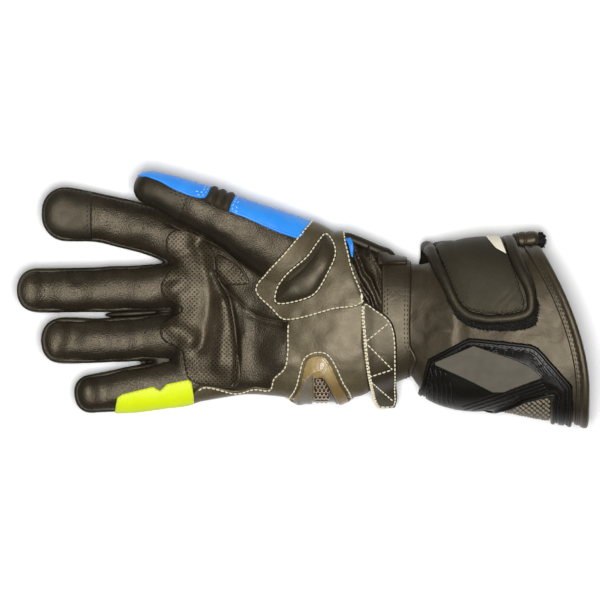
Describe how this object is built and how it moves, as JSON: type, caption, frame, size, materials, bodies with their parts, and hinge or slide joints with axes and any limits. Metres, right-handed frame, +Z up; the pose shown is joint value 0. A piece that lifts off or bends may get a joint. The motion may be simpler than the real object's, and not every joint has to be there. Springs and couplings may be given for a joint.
{
  "type": "motorcycle gauntlet",
  "caption": "Long-cuffed leather riding glove for the right hand, lying palm up: hollow fingers, thumb, palm and flared cuff, with wrist strap, closing tab, palm slider and cuff armour",
  "frame": {"origin": "centre of the base of the whole glove's box, on the surface it lies on", "axes": "+X from the fingertips to the cuff's mouth, +Y towards the thumb's side, +Z up out of the palm"},
  "size_m": [0.3338, 0.151, 0.0608],
  "materials": {
    "palm_leather": "grained, semi-matt black",
    "back_leather": "fine-grained, matt black",
    "patch_leather": "smooth, soft sheen",
    "blue_leather": "smooth, dyed bright blue",
    "yellow_leather": "smooth, dyed fluorescent yellow",
    "stretch_fabric": "matt ribbed elastic",
    "slider_resin": "moulded translucent amber",
    "armour_plastic": "moulded gloss black",
    "facet_plastic": "moulded matt grey-brown",
    "hook_fuzz": "black hook tape",
    "pale_patch": "plain pale woven tag",
    "cream_thread": "twisted cream sewing thread",
    "black_thread": "twisted black sewing thread"
  },
  "bodies": {
    "root": {"palm_panel": "palm_leather", "back_panel": "back_leather", "gusset_index_middle": "back_leather", "gusset_middle_ring": "back_leather", "gusset_ring_little": "back_leather", "thumb_front": "palm_leather", "thumb_back_tip": "blue_leather", "thumb_accordion": "stretch_fabric", "thumb_back_base": "blue_leather", "index_tip_patch": "patch_leather", "thumb_tip_patch": "patch_leather", "grip_patch": "palm_leather", "crotch_patch": "palm_leather", "little_finger_patch": "yellow_leather", "thumb_patch": "patch_leather", "thumb_pad": "patch_leather", "heel_patch": "patch_leather", "palm_slider": "slider_resin", "wrist_stripe": "blue_leather", "wrist_strap": "patch_leather", "wrist_flap": "patch_leather", "strap_keeper": "back_leather", "cuff_front": "palm_leather", "cuff_back": "back_leather", "cuff_hem": "palm_leather", "cuff_corner_roll": "back_leather", "hook_field": "hook_fuzz", "tab_panel": "back_leather", "tab_binding": "back_leather", "tab_label": "pale_patch", "armour_shell": "armour_plastic", "armour_facet": "facet_plastic", "armour_mesh": "patch_leather"}
  },
  "joints": []
}
